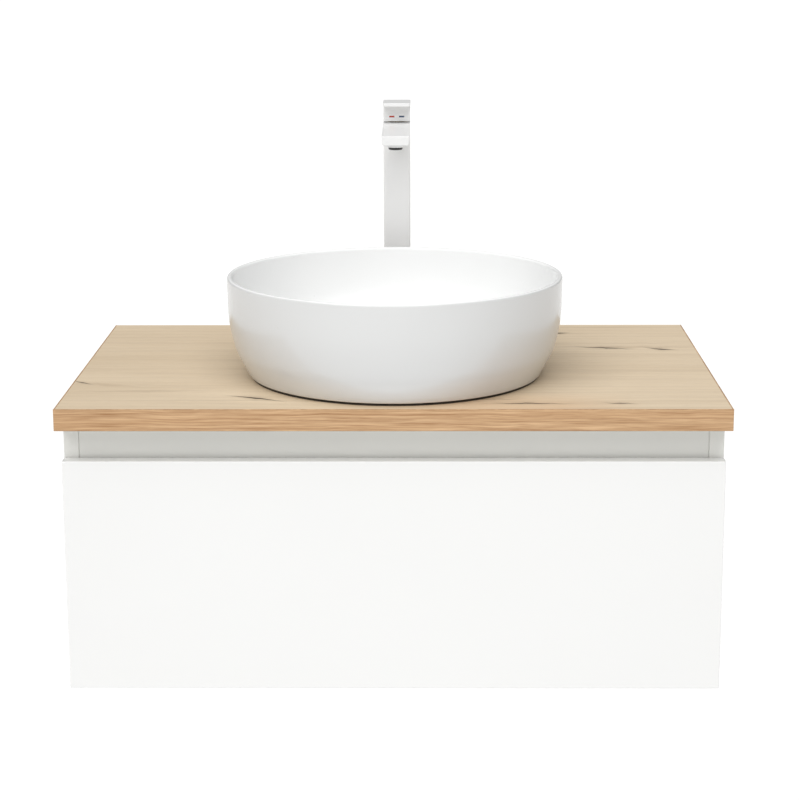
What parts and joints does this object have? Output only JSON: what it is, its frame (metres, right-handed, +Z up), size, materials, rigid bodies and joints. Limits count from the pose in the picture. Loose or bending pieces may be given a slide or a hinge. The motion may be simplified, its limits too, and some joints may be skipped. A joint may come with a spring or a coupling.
{
  "type": "vessel sink on vanity",
  "caption": "Wall-hung vanity with wood-look worktop, full-width handleless drawer, round vessel basin, push-open waste, bottle trap and tall single-lever mixer tap.",
  "frame": {"origin": "centre of the rear hanging rail's back face, on the wall plane", "axes": "+X to the right along the width, +Y into the wall, +Z up; the drawer opens along -Y"},
  "size_m": [0.8, 0.512, 0.6732],
  "materials": {
    "oak_laminate": "matt wood-grain laminate",
    "oak_edging": "matt wood-grain edge band",
    "board_core": "raw particle board",
    "white_gloss": "high-gloss white lacquer on board",
    "white_melamine": "smooth satin white melamine",
    "ceramic_white": "gloss glaze",
    "silicone": "shadowed silicone bead",
    "tap_white": "satin white coated casting",
    "black_plastic": "matt black moulding",
    "white_plastic": "smooth white moulding",
    "grey_plastic": "matt grey moulding",
    "chrome": "polished chrome",
    "zinc_steel": "zinc-plated steel",
    "brass": "machined brass",
    "rubber_black": "matt rubber",
    "disc_ceramic": "lapped ceramic",
    "beech": "raw beech dowel",
    "hot_red": "red enamel inlay",
    "cold_blue": "blue enamel inlay"
  },
  "bodies": {
    "root": {"worktop_board": "board_core", "worktop_top_laminate": "oak_laminate", "worktop_front_edging": "oak_edging", "worktop_side_edgings": "oak_edging", "left_side_panel": "white_melamine", "right_side_panel": "white_melamine", "bottom_panel": "white_melamine", "rear_hanging_rail": "white_melamine", "rear_lower_rail": "white_melamine", "front_stretcher": "white_melamine", "front_rail": "white_melamine", "carcass_dowels": "beech", "wall_fixing_plates": "zinc_steel", "worktop_brackets": "zinc_steel", "cabinet_screws": "zinc_steel", "runner_cabinet_members": "zinc_steel", "basin_bowl": "ceramic_white", "basin_seal": "silicone", "waste_body": "chrome", "waste_top_gasket": "rubber_black", "waste_bottom_gasket": "rubber_black", "waste_back_nut": "white_plastic", "waste_guide": "brass", "trap_inlet_nut": "white_plastic", "trap_inlet_pipe": "white_plastic", "trap_body": "white_plastic", "trap_cup": "white_plastic", "trap_outlet_nut": "white_plastic", "trap_outlet_pipe": "white_plastic", "tap_body": "tap_white", "tap_column": "tap_white", "tap_inlet_sockets": "brass", "tap_base_gasket": "tap_white", "tap_aerator_housing": "tap_white", "tap_aerator_insert": "black_plastic", "tap_cartridge_housing": "grey_plastic", "tap_cartridge_nut": "brass", "tap_fixed_disc": "disc_ceramic", "tap_clamp_gasket": "rubber_black", "tap_clamp_plate": "zinc_steel", "tap_fixing_nut": "brass", "tap_fixing_stud": "zinc_steel"},
    "drawer": {"drawer_front": "white_gloss", "drawer_inner_front": "white_melamine", "drawer_front_screws": "zinc_steel", "drawer_sides": "white_melamine", "drawer_backs": "white_melamine", "drawer_bottom": "white_melamine", "drawer_trap_cover": "grey_plastic", "runner_drawer_members": "zinc_steel"},
    "runner_middle": {"runner_middle_members": "zinc_steel"},
    "tap_turning_carrier": {"tap_carrier": "grey_plastic"},
    "tap_lever": {"tap_handle": "tap_white", "tap_hot_mark": "hot_red", "tap_cold_mark": "cold_blue", "tap_grub_screw": "zinc_steel", "tap_spindle": "brass"},
    "tap_sliding_disc": {"tap_moving_disc": "disc_ceramic"},
    "waste_plug": {"waste_plug_cap": "chrome", "waste_plug_stem": "brass"}
  },
  "joints": [
    {"name": "drawer_slide", "type": "slide", "parent": "root", "child": "drawer", "axis": [0, -1, 0], "range_m": [0, 0.4]},
    {"name": "runner_slide", "type": "slide", "parent": "root", "child": "runner_middle", "axis": [0, -1, 0], "range_m": [0, 0.2]},
    {"name": "tap_turn", "type": "hinge", "parent": "root", "child": "tap_turning_carrier", "pos_m": [0, -0.045, 0.3494], "axis": [0, 0, 1], "range_deg": [-45, 45]},
    {"name": "tap_lift", "type": "hinge", "parent": "tap_turning_carrier", "child": "tap_lever", "pos_m": [0, -0.045, 0.3494], "axis": [-1, 0, 0], "range_deg": [0, 20]},
    {"name": "disc_slide", "type": "slide", "parent": "tap_turning_carrier", "child": "tap_sliding_disc", "axis": [0, -1, 0], "range_m": [0, 0.0035]},
    {"name": "plug_slide", "type": "slide", "parent": "root", "child": "waste_plug", "axis": [0, 0, 1], "range_m": [0, 0.008]}
  ],
  "couplings": [
    {"joint": "runner_slide", "follows": "drawer_slide", "ratio": 0.5},
    {"joint": "disc_slide", "follows": "tap_lift", "m_per_rad": 0.0086}
  ]
}
